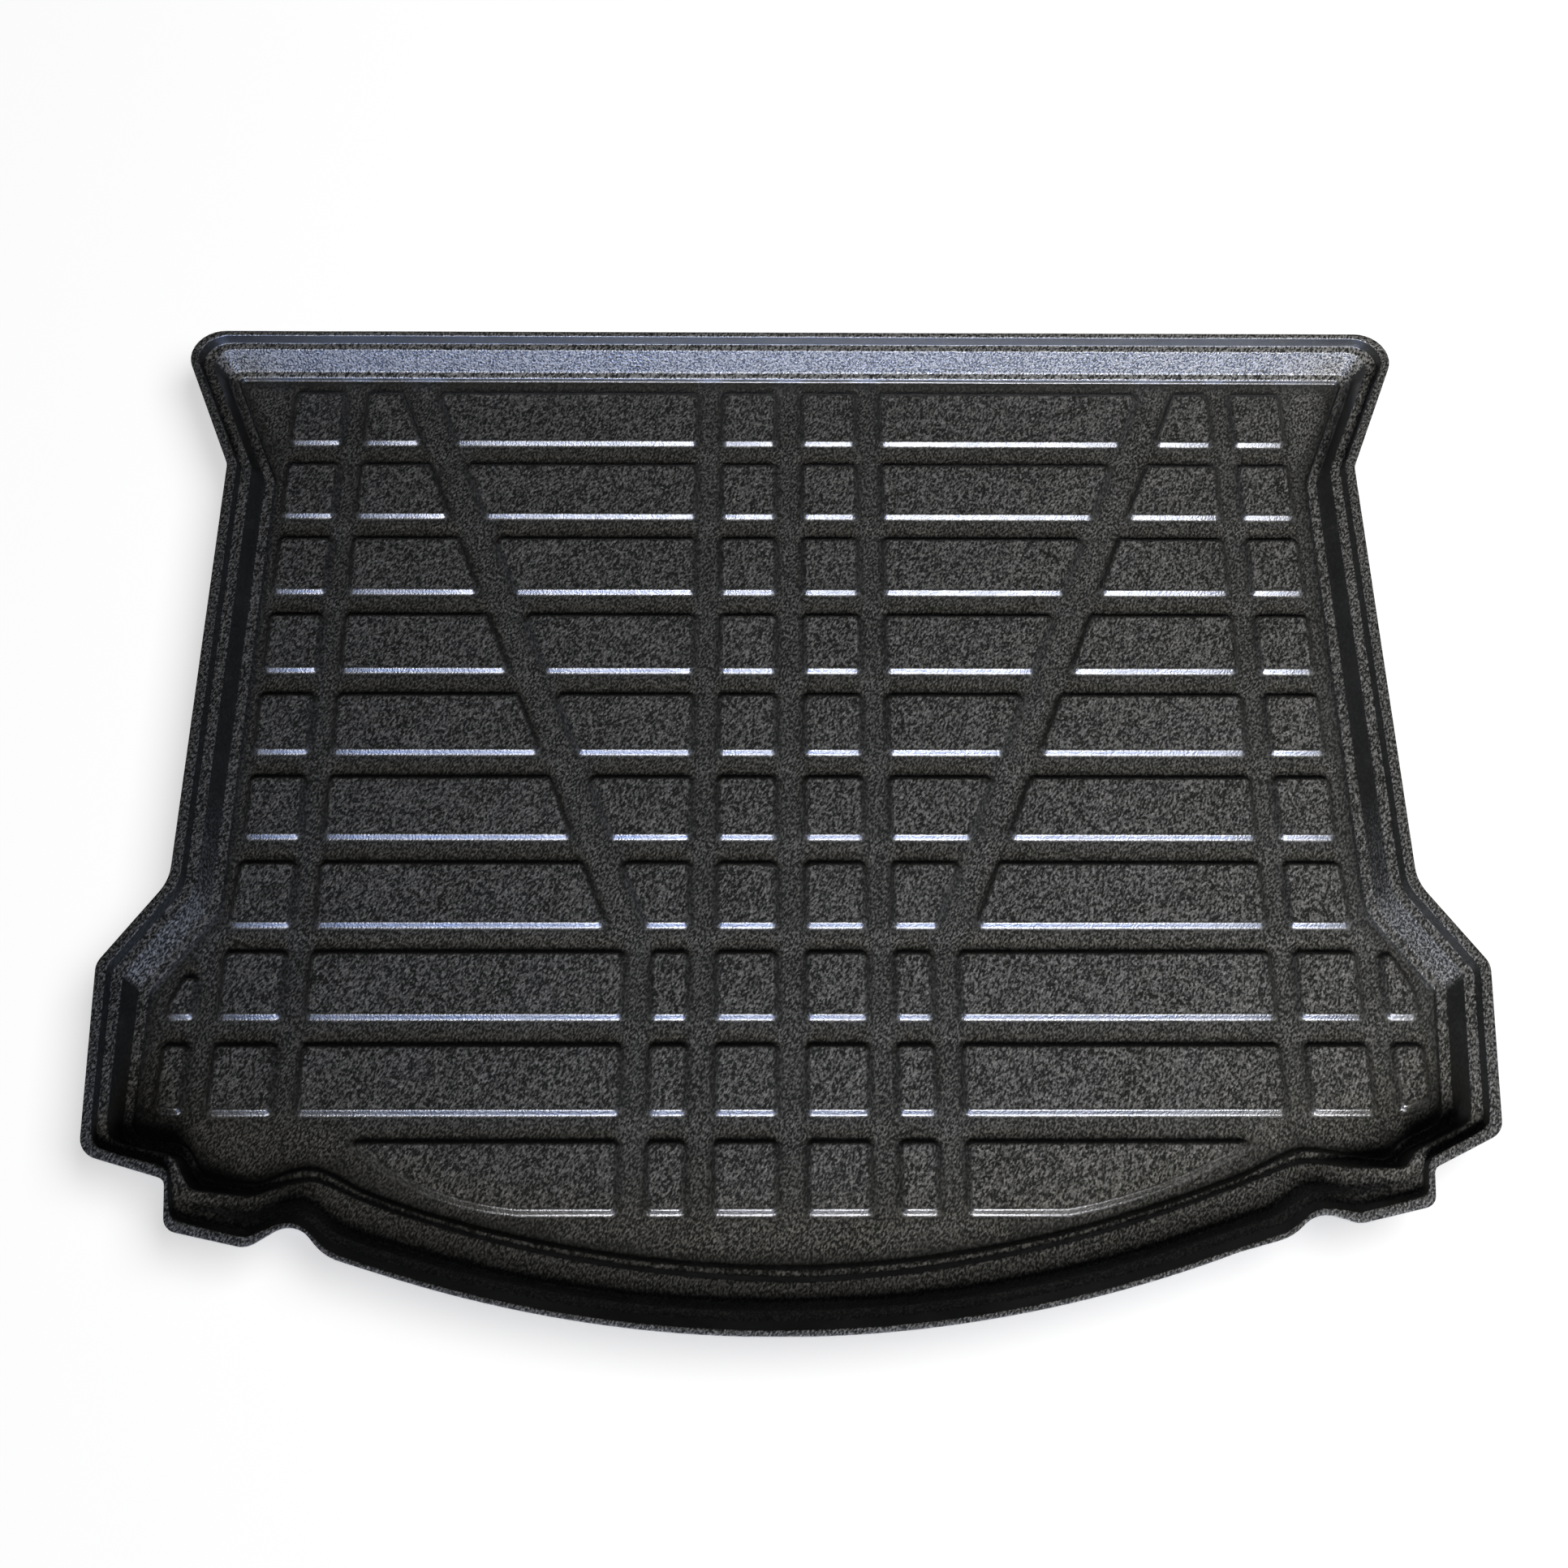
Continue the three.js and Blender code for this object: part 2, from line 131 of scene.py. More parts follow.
# Raised pads pressed up in the floor
pads = {
    "height": 5,
    "sideRun": 3.4,
    "middleX": -2.5,
    "rows": 10,
    "rowGap": 20,
    "farGap": 13.5,
    "nearGap": 38.8,
    "centreGroove": 19,
    "centreWidth": 54,
    "sideGroove": 17.8,
    "smallWidth": 34.3,
    "straightGroove": 17.8,
    "outerGroove": 15.8,
    "outerWidth": 50.5,
    "outerGap": 9,
    "hipExtra": 3.5,
    "tinyGroove": 15.6,
    "hipPastRow": 33,
    "hipStartPastRow": 25.2,
    "diagonalIn": 72.6,
    "diagonalEnd": 1,
    "diagonalGroove": 25.4,
    "diagonalRows": 7,
    "curvedCut": 178.7,
    "curvedSteps": 7,
    "curved": {"right": (4, 8), "left": (0, 12.5)},  # tip in from the shoulder, bulge
    # gap to the wall, shoulder, tip gap, tip width, rise of the near edge
    "tiny": {"right": (11.5, 24, 2, 13, 11), "left": (15.5, 12, 21.8, 14, 3)},
    "cornerRadius": 6.5,
    "topCornerRadius": 4,
    "cornerSegments": 4,
    "footRadius": 4,
    "topRadius": 2.5,
    "edgeSegments": 4,
    "footMargin": 0.5,
    "topMargin": 0.8,
    "edgeSpacing": 26,
    "topSpacing": 18,
    "cornerAllowance": 8,  # off a side for its corners, before the side is split
    "sharpTurn": 0.5,  # radians; softer corners of the curve aren't rounded
}

# How deep the grain stays, and the light and shade it paints: drawn out over steep bands and pad sides, at
# its fullest on the far wall. High values paint the far wall and hip walls lighter as a painted sheen; low
# values paint shade on the steep side bands and the wall's foot
grainAndPaintedLights = {
    "flat": 1, "farWall": 2.3, "hipSlant": 2.2, "steep": 0.1, "wallFoot": 0.3, "padSide": 0.4,
    "padFoot": 0.7,
}
farWallReach = 4
# a hip's wall takes its grain and its painted sheen between these, from 0 where it runs front to back to 1
# across
slantFrom = 0.2
slantTo = 0.45

# Waviness that the formed sheet keeps, and the slice of the noise that the fine waves come from
waves = {"length": 95, "height": 0.45, "fineLength": 34, "fineHeight": 0.12, "fineSlice": 70}

rounding = {
    # shares of the shorter side that an arc may take, in a ring's corner and at a column's edge
    "cornerShare": 0.48,
    "edgeShare": 0.46,
    "leastTangent": 0.4,
    # an edge that turns by fewer radians than this still spreads its points, by up to this share
    "flatTurn": 0.3,
    "flatShare": 0.3,
}

floorZ = sheet["thickness"]
rimZ = floorZ + sheet["depth"]
farY = sheet["rimLength"] / 2
nearY = -farY
sideHalf = sheet["waistHalf"] + sheet["sideFlare"]
hipHalf = sideHalf + sheet["hipFlare"]


def lerp(a, b, share):
    return a + (b - a) * share


def wallLine(wall):
    # the wall's section: how far in from the rim, and how high
    runs, stepDrop = wall
    wallDrop = sheet["depth"] - sheet["lipDrop"] - sheet["footDrop"] - stepDrop
    ledgeDrop = stepDrop * sheet["ledgeShare"]
    drops = [0, sheet["lipDrop"], ledgeDrop, stepDrop - ledgeDrop, 0, wallDrop, 0, sheet["footDrop"]]
    line = [(0, rimZ)]
    for run, drop in zip(runs, drops):
        line.append((line[-1][0] + run, line[-1][1] - drop))
    return line


def blendWalls(a, b, share):
    return [lerp(x, y, share) for x, y in zip(a[0], b[0])], lerp(a[1], b[1], share)


def runOf(wall):
    return sum(wall[0])


farFloorY = farY - runOf(wallSections["far"])
nearFloorY = nearY + runOf(wallSections["near"])
rowPitch = (farFloorY - pads["farGap"] - nearFloorY - pads["nearGap"] + pads["rowGap"]) / pads["rows"]
padLength = rowPitch - pads["rowGap"]


def rowNearY(row):
    return farFloorY - pads["farGap"] - padLength - row * rowPitch


def insetCorner(before, here, after, runBefore, runAfter):
    # where two walls' feet meet, from the rim corner
    a = (Vector(here) - Vector(before)).normalized()
    b = (Vector(after) - Vector(here)).normalized()
    along = (runAfter - runBefore * a.dot(b)) / (a.x * b.y - a.y * b.x)
    return (-a.y * runBefore - a.x * along, a.x * runBefore - a.y * along)


def halfStations(corners):
    # one half of the tray, from its near corner to its far corner
    line = []
    for inwards, up, floorOut, floorUp, radius, floorRadius, wall in corners:
        section = wallSections[wall]
        line.append({
            "rim": (hipHalf - inwards, nearY + up), "toFloor": (floorOut, floorUp),
            "radii": (radius, floorRadius), "walls": (section, section),
            "segments": sheet["cornerSegments"],
        })
    rims = [
        (hipHalf, rowNearY(pads["diagonalRows"]) + pads["hipPastRow"]),
        (sideHalf, rowNearY(pads["diagonalRows"] - 1) + pads["hipStartPastRow"]),
        (sheet["waistHalf"], farY - sheet["farFlareLength"]),
        (sheet["waistHalf"] + sheet["farFlare"], farY),
    ]
    path = [line[-1]["rim"]] + rims + [(0, farY)]
    side, far = wallSections["side"], wallSections["far"]
    for i, rim in enumerate(rims):
        last = i == len(rims) - 1
        after = far if last else side
        line.append({
            "rim": rim, "toFloor": insetCorner(path[i], rim, path[i + 2], runOf(side), runOf(after)),
            "radii": sheet["sideRadii"][i], "walls": (side, after),
            "segments": sheet["farCornerSegments"] if last else sheet["cornerSegments"],
        })
    return line


def shoulderX(side):
    return hipHalf - nearCorners[side][0][0]


def bowStations():
    left, right = (shoulderX(side) - sheet["bowEndGap"] for side in ("left", "right"))
    line = []
    for i in range(-sheet["bowSteps"], sheet["bowSteps"] + 1):
        share = abs(i) / sheet["bowSteps"]
        x = lerp(-left, right, (i / sheet["bowSteps"] + 1) / 2)
        y = nearY + (x - sheet["bowMiddleX"]) ** 2 / (2 * sheet["bowRadius"])
        wall = blendWalls(wallSections["near"], wallSections["shoulder"], share)
        line.append({
            "rim": (x, y), "toFloor": (0, runOf(wall)), "radii": (0, 0), "walls": (wall, wall),
            "segments": 0,
        })
    return line


def mirrored(station):
    return {
        **station, "rim": (-station["rim"][0], station["rim"][1]),
        "toFloor": (-station["toFloor"][0], station["toFloor"][1]), "walls": station["walls"][::-1],
    }


stations = bowStations() + halfStations(nearCorners["right"])
stations += [mirrored(station) for station in reversed(halfStations(nearCorners["left"]))]


def arcPoints(here, back, ahead, turn, tangent, segments):
    # an arc between the unit directions back and ahead of a corner, as its points in order
    points = []
    for i in range(segments + 1):
        t = i / segments
        weights = ((1 - t) ** 2, 2 * math.cos(turn / 2) * t * (1 - t), t ** 2)
        points.append(here + (back * weights[0] + ahead * weights[2]) * (tangent / sum(weights)))
    return points


def roundedCorner(before, here, after, radius, segments):
    here = Vector(here)
    if segments == 0:
        return [here]
    back, ahead = Vector(before) - here, Vector(after) - here
    turn = math.pi - back.angle(ahead)
    room = rounding["cornerShare"] * min(back.length, ahead.length)
    tangent = min(room, max(rounding["leastTangent"], radius * math.tan(turn / 2)))
    return arcPoints(here, back.normalized(), ahead.normalized(), turn, tangent, segments)


def ringCorners(k):
    # the rounded corners of ring k, each a list of 3-D points
    corners = []
    for station in stations:
        first, last = (wallLine(wall)[k] for wall in station["walls"])
        share = (first[0] + last[0]) / sum(runOf(wall) for wall in station["walls"])
        at = Vector(station["rim"]) + Vector(station["toFloor"]) * share
        corners.append((at, lerp(*station["radii"], share), first[1], last[1]))
    arcs = []
    for i, (at, radius, firstZ, lastZ) in enumerate(corners):
        before, after = corners[i - 1][0], corners[(i + 1) % len(corners)][0]
        arc = roundedCorner(before, at, after, max(0, radius), stations[i]["segments"])
        arcs.append([(*point, lerp(firstZ, lastZ, n / max(1, len(arc) - 1))) for n, point in enumerate(arc)])
    return arcs


def wallRings():
    rings = [ringCorners(k) for k in range(len(sheet["edgeRadii"]) + 1)]
    counts = []
    for i, arc in enumerate(rings[0]):
        after = rings[0][(i + 1) % len(rings[0])]
        counts.append(max(1, round((Vector(after[0]) - Vector(arc[-1])).length / sheet["columnSpacing"])))
    lines = []
    for arcs in rings:
        line = []
        for i, arc in enumerate(arcs):
            line += [Vector(point) for point in arc]
            start, end = Vector(arc[-1]), Vector(arcs[(i + 1) % len(arcs)][0])
            line += [start.lerp(end, n / counts[i]) for n in range(1, counts[i])]
        lines.append(line)
    return lines


def smoothed(line):
    # eases the kinks of a ring at the near corners only
    for _ in range(sheet["easings"]):
        eased = []
        for i, point in enumerate(line):
            middle = (line[i - 1] + line[(i + 1) % len(line)]) / 2
            share = 0.5 * max(0, min(1, (sheet["easedFromY"] - point.y) / sheet["easedOver"]))
            outside = abs(point.x) > sheet["easedOutsideX"]
            eased.append(point.lerp(middle, share) if outside else point)
        line = eased
    return line


def roundedColumn(points):
    # one line from the rim down to the floor, with every edge rounded
    inwards = points[-1] - points[-2]
    inwards.z = 0
    inwards.normalize()
    path = points + [points[-1] + inwards * sheet["floorRunOn"]]
    column = [points[0]]
    start, end = sheet["sideFromY"]
    share = max(0, min(1, (points[0].y - start) / (end - start)))
    for k, radii in enumerate(zip(sheet["edgeRadii"], sheet["sideEdgeRadii"]), 1):
        radius = lerp(*radii, share)
        back, ahead = path[k - 1] - path[k], path[k + 1] - path[k]
        shorter = min(back.length, ahead.length)
        turn = math.pi - back.angle(ahead, math.pi)
        flat = rounding["flatShare"] * shorter * max(0, 1 - turn / rounding["flatTurn"])
        tangent = min(rounding["edgeShare"] * shorter, max(radius * math.tan(turn / 2), flat))
        back.normalize()
        ahead.normalize()
        column += arcPoints(path[k], back, ahead, turn, tangent, sheet["edgeSegments"])
    column.append(column[-1] + inwards * sheet["floorMargin"])
    return column


def inset(outline, distance):
    # a convex outline moved in
    moved = []
    for i, here in enumerate(outline):
        a = (here - outline[i - 1]).normalized()
        b = (outline[(i + 1) % len(outline)] - here).normalized()
        reach = distance / (1 + a.dot(b))
        moved.append(here + Vector((-a.y - b.y, a.x + b.x)) * reach)
    return moved


centrePad = (pads["centreGroove"] / 2, pads["centreGroove"] / 2 + pads["centreWidth"])
smallPad = (centrePad[1] + pads["sideGroove"], centrePad[1] + pads["sideGroove"] + pads["smallWidth"])
wideInnerX = smallPad[1] + pads["straightGroove"]
outerPadOuterX = sheet["waistHalf"] - runOf(wallSections["side"]) - pads["outerGap"]
outerInnerX = outerPadOuterX - pads["outerWidth"]
widePadOuterX = outerInnerX - pads["outerGroove"]
hipPadOuterX = outerPadOuterX + pads["hipExtra"]
tinyInnerX = hipPadOuterX + pads["tinyGroove"]
diagonalStartX = widePadOuterX - pads["diagonalIn"]
diagonalSlope = (diagonalStartX - wideInnerX - pads["diagonalEnd"]) / ((pads["diagonalRows"] - 1) * rowPitch)
diagonalHalf = pads["diagonalGroove"] / 2 * math.hypot(1, diagonalSlope)


def diagonalAt(y):
    return diagonalStartX + diagonalSlope * (y - rowNearY(0))


def fourSided(near, far, nearInner, nearOuter, farInner=None, farOuter=None):
    farInner = nearInner if farInner is None else farInner
    farOuter = nearOuter if farOuter is None else farOuter
    return [(nearInner, near), (nearOuter, near), (farOuter, far), (farInner, far)]


def curvedPad(near, far, side):
    # the last row's wide pad, whose outer end follows the bow
    tipIn, bulge = pads["curved"][side]
    tip = Vector((shoulderX(side) - tipIn, far))
    start = Vector((widePadOuterX - pads["curvedCut"], near))
    chord = (tip - start).normalized()
    outline = [(wideInnerX, near)]
    for i in range(pads["curvedSteps"] + 1):
        t = i / pads["curvedSteps"]
        out = bulge * 4 * t * (1 - t)
        outline.append(tuple(start.lerp(tip, t) + Vector((chord.y, -chord.x)) * out))
    return outline + [(wideInnerX, far)]


def tinyPad(near, side, pointed):
    gap, shoulder, tipGap, tipWidth, nearRise = pads["tiny"][side]
    outer = hipHalf - runOf(wallSections["side"]) - gap
    far = near + padLength
    if not pointed:
        return [(tinyInnerX, near), (outer, near + nearRise), (outer, far), (tinyInnerX, far)]
    far -= tipGap
    tip = [(tinyInnerX + tipWidth, far), (tinyInnerX, far)]
    return [(tinyInnerX, near), (outer, near), (outer, near + shoulder)] + tip


def rowPads(row, side):
    near = rowNearY(row)
    far = near + padLength
    outlines = [fourSided(near, far, *centrePad)]
    if row < pads["diagonalRows"]:
        inner = [diagonalAt(y) - diagonalHalf for y in (near, far)]
        outer = [diagonalAt(y) + diagonalHalf for y in (near, far)]
        hip = hipPadOuterX if row == pads["diagonalRows"] - 1 else outerPadOuterX
        outlines.append(fourSided(near, far, smallPad[0], inner[0], smallPad[0], inner[1]))
        outlines.append(fourSided(near, far, outer[0], widePadOuterX, outer[1], widePadOuterX))
        outlines.append(fourSided(near, far, outerInnerX, hip, outerInnerX, outerPadOuterX))
        return outlines
    outlines.append(fourSided(near, far, *smallPad))
    if row == pads["rows"] - 1:
        outlines.append(curvedPad(near, far, side))
        return outlines
    outlines.append(fourSided(near, far, wideInnerX, widePadOuterX))
    outlines.append(fourSided(near, far, outerInnerX, hipPadOuterX))
    outlines.append(tinyPad(near, side, row == pads["diagonalRows"]))
    return outlines


def padOutlines():
    outlines = []
    for row in range(pads["rows"]):
        outlines += [[Vector((pads["middleX"] + x, y)) for x, y in pad] for pad in rowPads(row, "right")]
        for pad in rowPads(row, "left"):
            outlines.append([Vector((pads["middleX"] - x, y)) for x, y in reversed(pad)])
    return outlines


def padLine():
    # a pad's side as steps inwards and up, with its foot and top edge rounded
    run, height = pads["sideRun"], pads["height"]
    slope = Vector((run, height)).normalized()
    turn = slope.angle(Vector((1, 0)))
    line = []
    for corner, radius, back, ahead in (
        (Vector((0, 0)), pads["footRadius"], Vector((-1, 0)), slope),
        (Vector((run, height)), pads["topRadius"], -slope, Vector((1, 0))),
    ):
        tangent = radius * math.tan(turn / 2)
        line += arcPoints(corner, back, ahead, turn, tangent, pads["edgeSegments"])
    line.insert(0, line[0] - Vector((pads["footMargin"], 0)))
    line.append(line[-1] + Vector((pads["topMargin"], 0)))
    return line


def padRing(corners, inwards, counts, segments):
    share = max(0, min(1, inwards / pads["sideRun"]))
    radius = lerp(pads["cornerRadius"], pads["topCornerRadius"], share)
    outline = inset(corners, inwards)
    arcs = []
    for i, here in enumerate(outline):
        after = outline[(i + 1) % len(outline)]
        arcs.append(roundedCorner(outline[i - 1], here, after, radius, segments[i]))
    ring = []
    for i, arc in enumerate(arcs):
        ring += arc
        end = arcs[(i + 1) % len(arcs)][0]
        ring += [arc[-1].lerp(end, n / counts[i]) for n in range(1, counts[i])]
    return ring


verts, faces = [], []

# Triangles of the flats: even rows of points that keep clear of the loops' close marks
flats = {"markSpacing": 4, "clearShare": 0.45, "rowShare": 0.866, "tolerance": 0.001}


def addRing(points):
    start = len(verts)
    verts.extend(points)
    return list(range(start, len(verts)))


def bridge(lower, upper):
    for i in range(len(lower)):
        j = (i + 1) % len(lower)
        faces.append((lower[i], lower[j], upper[j], upper[i]))


def insideLoop(point, loop):
    inside = False
    for i, here in enumerate(loop):
        before = loop[i - 1]
        if (here.y > point.y) != (before.y > point.y):
            share = (point.y - here.y) / (before.y - here.y)
            if point.x < lerp(here.x, before.x, share):
                inside = not inside
    return inside


def inHole(point, holes):
    # whether a point lies in one of the loops, each kept with its bounds
    for loop, low, high in holes:
        if low.x < point.x < high.x and low.y < point.y < high.y and insideLoop(point, loop):
            return True
    return False


def fillFlat(loops, spacing, height):
    # triangles between loops of vertices, the first one the outermost and the others holes
    holes = []
    for loop in loops[1:]:
        line = [Vector(verts[index][:2]) for index in loop]
        low, high = (Vector(pick(point[axis] for point in line) for axis in (0, 1)) for pick in (min, max))
        holes.append((line, low, high))
    flat, edges, owners = [], [], []
    for loop in loops:
        start = len(flat)
        flat += [Vector(verts[index][:2]) for index in loop]
        edges += [(start + n, start + (n + 1) % len(loop)) for n in range(len(loop))]
        owners += loop
    marks = []  # close marks along the loops, which inner points keep clear of
    for start, end in edges:
        steps = math.ceil((flat[end] - flat[start]).length / flats["markSpacing"])
        marks += [flat[start].lerp(flat[end], n / steps) for n in range(steps)]
    tree = kdtree.KDTree(len(marks))
    for n, point in enumerate(marks):
        tree.insert((*point, 0), n)
    tree.balance()
    low = [min(point[axis] for point in flat) for axis in (0, 1)]
    high = [max(point[axis] for point in flat) for axis in (0, 1)]
    rowSpacing = spacing * flats["rowShare"]
    rows = int((high[1] - low[1]) / rowSpacing)
    columns = int((high[0] - low[0]) / spacing)
    for row in range(rows + 1):
        for column in range(columns + 1):
            x = low[0] + (column + 0.5 * (row % 2)) * spacing
            point = Vector((x, low[1] + row * rowSpacing))
            clear = tree.find((*point, 0))[2] > spacing * flats["clearShare"]
            if clear and not inHole(point, holes):
                flat.append(point)
    insideOnly = 1  # keeps what lies inside the loops
    result = delaunay_2d_cdt(flat, edges, [], insideOnly, flats["tolerance"])
    coords, _, triangles, origins, _, _ = result
    index = []
    for point, origin in zip(coords, origins):
        if origin and origin[0] < len(owners):
            index.append(owners[origin[0]])
        else:
            verts.append(Vector((point.x, point.y, height)))
            index.append(len(verts) - 1)
    for triangle in triangles:
        centre = sum((coords[n] for n in triangle), Vector((0, 0))) / 3
        if not inHole(centre, holes):
            faces.append(tuple(index[n] for n in triangle))
    return len(coords) - len(flat)


def wave(x, y):
    # a hand's-width waviness that a formed sheet keeps, from 0 to the sum of both heights
    broad = noise.noise(Vector((x, y, 0)) / waves["length"], noise_basis="PERLIN_NEW")
    fine = noise.noise(Vector((x, y, waves["fineSlice"])) / waves["fineLength"], noise_basis="PERLIN_NEW")
    return waves["height"] * (0.5 + 0.5 * broad) + waves["fineHeight"] * (0.5 + 0.5 * fine)


lines = wallRings()
lines = [lines[0]] + [smoothed(line) for line in lines[1:]]
columns = [roundedColumn([line[i] for line in lines]) for i in range(len(lines[0]))]
wallLoops = [addRing([column[n] for column in columns]) for n in range(len(columns[0]))]
for outer, inner in zip(wallLoops, wallLoops[1:]):
    bridge(outer, inner)
print("wall:", len(columns), "columns of", len(columns[0]))


def faceLoops(edge):
    # the loops on both sides of the band after this edge
    perEdge = sheet["edgeSegments"] + 1
    return range(edge * perEdge - 1, edge * perEdge + 3)


# The grain's depth at each vertex of the wall, by its band. It also paints light and shade: painted shade on
# the lip, the steep bands and the foot, and a painted sheen on the far wall and the hip walls
footLoops = 8  # the floor's margin, the foot's edge and the last two of the curb's
lipFace = faceLoops(1)
wallFace = faceLoops(5)
grainAndPaintedLight = {index: grainAndPaintedLights["wallFoot"] for loop in wallLoops[-footLoops:] for index in loop}
for n, loop in enumerate(wallLoops[:-footLoops]):
    for index, column in zip(loop, columns):
        if n in lipFace:
            grainAndPaintedLight[index] = grainAndPaintedLights["steep"]
        elif column[-1].y > farFloorY - farWallReach:
            grainAndPaintedLight[index] = grainAndPaintedLights["farWall"]
        elif n in wallFace:
            facing = -(column[-1] - column[0]).xy.normalized().y
            slant = max(0, min(1, (facing - slantFrom) / (slantTo - slantFrom)))
            grainAndPaintedLight[index] = lerp(grainAndPaintedLights["steep"], grainAndPaintedLights["hipSlant"], slant)

padHoles = []
for corners in padOutlines():
    counts, segments = [], []
    for i, here in enumerate(corners):
        after = corners[(i + 1) % len(corners)]
        straight = (after - here).length - pads["cornerAllowance"]
        counts.append(max(1, round(straight / pads["edgeSpacing"])))
        turn = (here - corners[i - 1]).angle(after - here)
        segments.append(pads["cornerSegments"] if turn > pads["sharpTurn"] else 0)
    rings = []
    for inwards, up in padLine():
        ring = padRing(corners, inwards, counts, segments)
        rings.append(addRing([Vector((*point, floorZ + up)) for point in ring]))
    for outer, inner in zip(rings, rings[1:]):
        bridge(outer, inner)
    # the pads' feet and sides take fainter light peaks, so their colour is darker there
    grainAndPaintedLight.update((index, grainAndPaintedLights["padFoot"]) for index in rings[0])
    grainAndPaintedLight.update((index, grainAndPaintedLights["padSide"]) for ring in rings[1:-1] for index in ring)
    padHoles.append(rings[0])
    fillFlat([rings[-1]], pads["topSpacing"], floorZ + pads["height"])
extra = fillFlat([wallLoops[-1]] + padHoles, sheet["floorSpacing"], floorZ)
print("floor and pads:", len(padHoles), "pads, crossings", extra)

# The waves lift the floor and lower the rim, so the sheet stays within the CAD's box
for point in verts:
    rise = (point.z - floorZ) / sheet["depth"]
    point.z += wave(point.x, point.y) * (1 - 2 * rise)
    for axis in (0, 1):  # the smooth bow reaches a hair past the CAD's flats
        low = cadBox[0][axis] / mm + sheet["boxClearance"]
        high = cadBox[1][axis] / mm - sheet["boxClearance"]
        point[axis] = max(low, min(high, point[axis]))

mesh = bpy.data.meshes.new("linerSheet")
mesh.from_pydata([point * mm for point in verts], [], faces)
mesh.update()
depths = mesh.attributes.new("grainAndPaintedLight", "FLOAT", "POINT")
depths.data.foreach_set("value", [grainAndPaintedLight.get(n, grainAndPaintedLights["flat"]) for n in range(len(verts))])
liner = bpy.data.objects.new("linerSheet", mesh)
bpy.context.scene.collection.objects.link(liner)
mesh.polygons.foreach_set("use_smooth", [True] * len(mesh.polygons))
solidify = liner.modifiers.new("sheetThickness", "SOLIDIFY")
solidify.thickness = sheet["thickness"] * mm
solidify.offset = -1
trim = liner.modifiers.new("trimmedRim", "BEVEL")
trim.limit_method = "ANGLE"
trim.angle_limit = math.radians(sheet["trimAngle"])
trim.width = sheet["trimBevel"] * mm
trim.segments = sheet["trimSegments"]
print("sheet:", len(mesh.vertices), "vertices,", len(mesh.polygons), "faces")


def linear(hexColour):
    channels = [int(hexColour[i:i + 2], 16) / 255 for i in (1, 3, 5)]
    return [c / 12.92 if c <= 0.04045 else ((c + 0.055) / 1.055) ** 2.4 for c in channels] + [1]


def addNode(tree, kind, settings=None, links=None):
    # one node, its own settings, its inputs' values and what feeds them
    node = tree.nodes.new(kind)
    for name, value in (settings or {}).items():
        if hasattr(node, name) and name not in node.inputs:
            setattr(node, name, value)
        else:
            node.inputs[name].default_value = value
    for name, source in (links or {}).items():
        tree.links.new(source, node.inputs[name])
    return node


def newMaterial(name):
    material = bpy.data.materials.new(name)
    material.use_nodes = True
    material.node_tree.nodes.clear()
    return material, material.node_tree


# Polyethylene sheet, extruded with a leather grain and then thermoformed over a male tool.
# To the eye it is a soft satin black whose grain breaks every highlight into specks; the grain's lighter
# peaks are painted glints as well as its own tone.
polyethylene = {
    "valleyColour": "#131310",
    "peakGlintColour": "#62605a",
    "ior": 1.5,
    "specular": 0.6,
    "roughness": (0.29, 0.4),
    "grain": 2.2,  # mm; the real grain is about 1 mm, drawn coarser so that it shows
    "grainLay": -25,  # degrees, the way in which the grain runs
    "grainStretch": (0.75, 1.4, 1),
    "grainHeight": 0.38,
    "deepest": 1.1,  # the deepest the relief gets, while the light peaks still spread
    "speck": 2.1,  # mm, clusters of lighter peaks, painted glints on the grain
    "speckRange": (0.42, 0.8),  # of the noise, from the first light peak to the lightest
    "scuff": 60,  # mm, the size of the duller patches
    "scuffRange": (0.35, 0.65),
}


